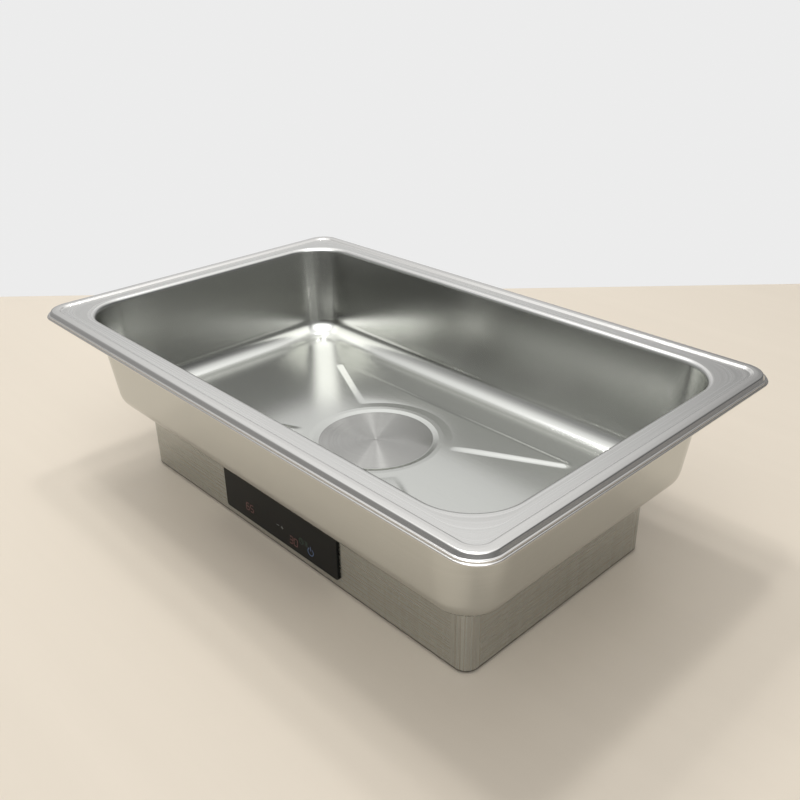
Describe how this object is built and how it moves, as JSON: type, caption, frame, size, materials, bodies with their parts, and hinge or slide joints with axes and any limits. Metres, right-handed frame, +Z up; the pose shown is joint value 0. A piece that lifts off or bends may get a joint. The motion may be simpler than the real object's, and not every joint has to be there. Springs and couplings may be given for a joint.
{
  "type": "induction chafing dish",
  "caption": "Open rectangular water pan with a stepped rim and embossed floor, lifting off a low rectangular induction base with a front touch panel.",
  "frame": {"origin": "on the table, under the centre of the pan", "axes": "+Z up, +X along the long side to the right as seen from the front, the control panel faces -Y"},
  "size_m": [0.5664, 0.3564, 0.1696],
  "materials": {
    "pan_steel": "satin stainless steel",
    "disc_steel": "magnetic stainless steel",
    "box_steel": "brushed stainless steel",
    "plate_steel": "galvanised sheet",
    "screw_steel": "bright zinc",
    "silicone": "matt",
    "ceramic_glass": "polished black",
    "copper": "lacquered",
    "ferrite": "matt",
    "mica": "matt",
    "moulding_black": "matt",
    "moulding_white": "matt",
    "board_green": "lacquered",
    "sink_aluminium": "extruded",
    "lens_black": "high gloss",
    "lamp": "clear",
    "terminal_brass": "plated",
    "fuse_glass": "clear"
  },
  "bodies": {
    "base": {"base_housing": "box_steel", "base_plate": "plate_steel", "corner_brackets": "plate_steel", "base_screws": "screw_steel", "rubber_feet": "silicone", "pan_pads": "silicone", "glass_plate": "ceramic_glass", "locating_ring": "silicone", "clamp_ring": "plate_steel", "mica_sheet": "mica", "induction_coil": "copper", "coil_carrier": "moulding_white", "ferrite_bars": "ferrite", "coil_posts": "moulding_white", "temperature_sensor": "moulding_white", "sensor_sleeve": "silicone", "power_board": "board_green", "board_posts": "moulding_white", "heat_sink": "sink_aluminium", "power_transistor": "moulding_black", "bridge_rectifier": "moulding_black", "resonance_capacitor": "moulding_white", "filter_capacitor": "moulding_white", "choke": "copper", "fuse_tube": "fuse_glass", "fuse_clips": "terminal_brass", "terminal_block": "moulding_white", "fan_frame": "moulding_black", "fan_stator": "copper", "control_lens": "lens_black", "control_tray": "moulding_black", "control_board": "board_green", "digit_display": "lens_black", "touch_pads": "silicone", "indicator_lamps": "lamp", "inlet_socket": "moulding_black", "inlet_pins": "terminal_brass"},
    "pan": {"water_pan": "pan_steel", "induction_disc": "disc_steel"},
    "rotor": {"fan_rotor": "moulding_black"}
  },
  "joints": [
    {"name": "pan_lift", "type": "slide", "parent": "base", "child": "pan", "axis": [0, 0, 1], "range_m": [0, 0.12]},
    {"name": "fan_spin", "type": "hinge", "parent": "base", "child": "rotor", "pos_m": [0.15, -0.008, 0.016], "axis": [0, 0, 1], "continuous": true}
  ]
}
